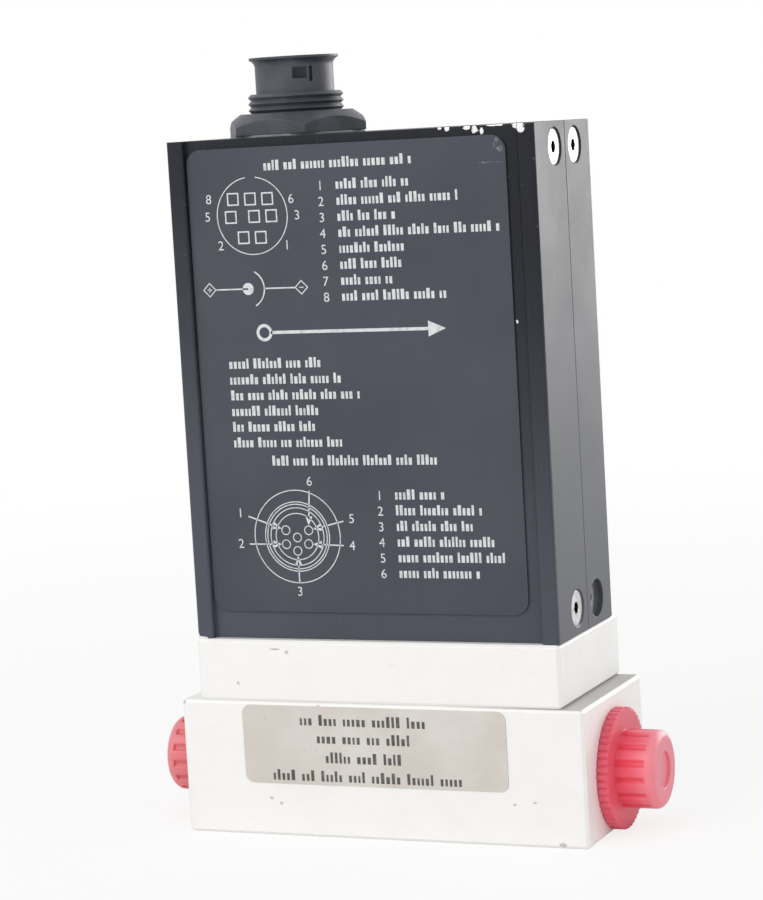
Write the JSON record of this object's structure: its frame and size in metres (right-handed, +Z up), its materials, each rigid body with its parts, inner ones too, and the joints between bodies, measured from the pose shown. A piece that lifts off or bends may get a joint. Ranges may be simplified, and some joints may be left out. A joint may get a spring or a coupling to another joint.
{
  "type": "mass flow meter",
  "caption": "Gas mass flow meter: bare metal flow block with plugged end ports under an upright black electronics housing with a rear label, a display side and a round top connector.",
  "frame": {"origin": "centre of the flow body's bottom face", "axes": "+Z up through the housing to the connector, +X along the flow from inlet to outlet, -Y is the label side and +Y the display side"},
  "size_m": [0.0754, 0.0255, 0.1102],
  "materials": {
    "bare_aluminium": "machined, satin",
    "black_anodised": "black anodised, satin",
    "label_print": "dark printed label with pale marks, matte",
    "rating_foil": "thin foil, satin",
    "steel": "stainless, bright",
    "seal_rubber": "soft, matte",
    "sensor_plastic": "moulded, matte",
    "circuit_board": "glass fibre board, satin",
    "component_black": "moulded, matte",
    "display_glass": "liquid crystal glass, smooth",
    "clear_window": "clear, gloss",
    "connector_black": "moulded, satin",
    "contact_metal": "plated, bright",
    "red_plastic": "translucent, gloss"
  },
  "bodies": {
    "root": {"flow_body": "bare_aluminium", "laminar_element": "steel", "element_seal": "seal_rubber", "snap_ring": "steel", "tap_seals": "seal_rubber", "sensor_block": "bare_aluminium", "block_screws": "steel", "differential_sensor": "sensor_plastic", "absolute_sensor": "sensor_plastic", "temperature_probe": "steel", "rear_cover": "black_anodised", "front_cover": "black_anodised", "top_plate": "black_anodised", "side_screws": "steel", "main_board": "circuit_board", "processor": "component_black", "board_parts": "component_black", "lcd_module": "display_glass", "lcd_strips": "seal_rubber", "display_window": "clear_window", "faceplate": "label_print", "rear_label": "label_print", "rating_plate": "rating_foil", "connector_shell": "connector_black", "connector_insert": "connector_black", "contact_pins": "contact_metal", "connector_gasket": "seal_rubber", "connector_nut": "connector_black", "link_board": "circuit_board", "link_header": "component_black", "outlet_plug": "red_plastic", "inlet_plug": "red_plastic"}
  },
  "joints": []
}
